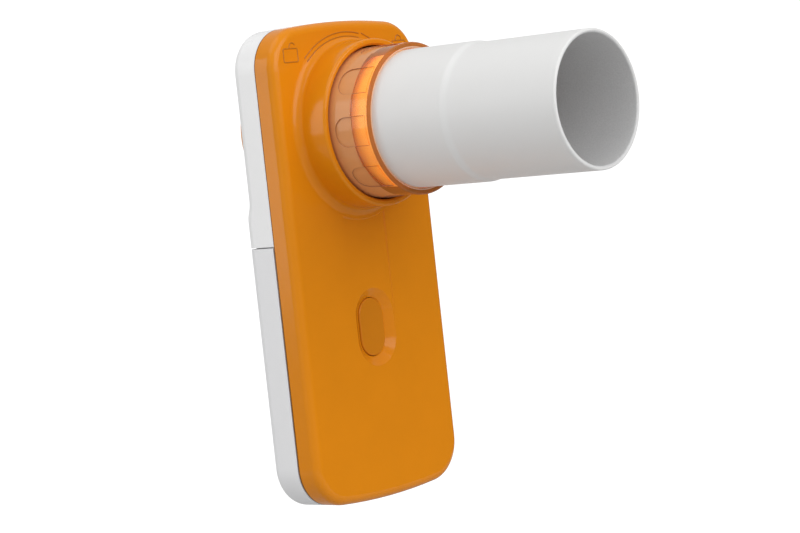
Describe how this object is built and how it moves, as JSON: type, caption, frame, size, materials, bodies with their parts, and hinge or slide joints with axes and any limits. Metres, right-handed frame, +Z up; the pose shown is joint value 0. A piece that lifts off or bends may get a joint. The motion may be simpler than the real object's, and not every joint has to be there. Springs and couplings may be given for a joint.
{
  "type": "spirometer",
  "caption": "Pocket spirometer: flat upright two-tone casing with a key in a dish, a twist-lock see-through turbine in a round collar and a push-in mouthpiece tube.",
  "frame": {"origin": "point on the flat back, on the middle line and 35 mm above the bottom edge, where the palm holds the casing", "axes": "+Z up along the casing, towards the turbine; -Y out of the front face, along the airway towards the lips; +X to the right of someone who faces the key"},
  "size_m": [0.049, 0.0896, 0.109],
  "materials": {
    "coloured_shell": "satin-gloss moulded ABS",
    "coloured_key": "finely textured",
    "pale_shell": "satin-gloss moulded ABS",
    "pale_cover": "satin moulded ABS",
    "circuit_board": "solder mask",
    "black_chip": "moulded epoxy",
    "module_can": "tinned sheet",
    "capacitor": "sintered",
    "white_plastic": "moulded",
    "smoked_lens": "smoked",
    "contact_metal": "nickel plated",
    "cell": "printed sleeve over a metal can",
    "screw_steel": "zinc plated",
    "clear_turbine": "see-through moulded",
    "turbine_insert": "see-through moulded",
    "bearing_brass": "turned",
    "rotor_black": "moulded",
    "mouthpiece_white": "smooth"
  },
  "bodies": {
    "casing": {"front_cover": "coloured_shell", "back_shell": "pale_shell", "circuit_board": "circuit_board", "processor_chip": "black_chip", "radio_module": "module_can", "quartz_crystal": "module_can", "board_capacitors": "capacitor", "switch_body": "black_chip", "infrared_emitter": "smoked_lens", "infrared_detector": "smoked_lens", "bridge_contact": "contact_metal", "positive_contact": "contact_metal", "negative_contact": "contact_metal", "left_spring": "contact_metal", "right_spring": "contact_metal", "left_cell": "cell", "right_cell": "cell", "housing_screws": "screw_steel"},
    "battery_cover": {"battery_cover": "pale_cover"},
    "power_key": {"power_key": "coloured_key", "switch_plunger": "white_plastic"},
    "turbine": {"turbine_housing": "clear_turbine", "front_swirler": "turbine_insert", "rear_swirler": "turbine_insert", "front_bearing": "bearing_brass", "rear_bearing": "bearing_brass"},
    "rotor": {"rotor_shaft": "screw_steel", "rotor_vane": "rotor_black"},
    "mouthpiece": {"mouthpiece": "mouthpiece_white"}
  },
  "joints": [
    {"name": "battery_cover_slide", "type": "slide", "parent": "casing", "child": "battery_cover", "axis": [0, 0, -1], "range_m": [0, 0.062]},
    {"name": "power_key_press", "type": "slide", "parent": "casing", "child": "power_key", "axis": [0, 1, 0], "range_m": [0, 0.00035], "stiffness_N_per_m": 4000},
    {"name": "turbine_twist", "type": "hinge", "parent": "casing", "child": "turbine", "pos_m": [0, 0, 0.0502], "axis": [0, -1, 0], "range_deg": [0, 60]},
    {"name": "rotor_spin", "type": "hinge", "parent": "turbine", "child": "rotor", "pos_m": [0, 0, 0.0502], "axis": [0, -1, 0], "continuous": true},
    {"name": "mouthpiece_pull", "type": "slide", "parent": "turbine", "child": "mouthpiece", "axis": [0, -1, 0], "range_m": [0, 0.02]}
  ]
}
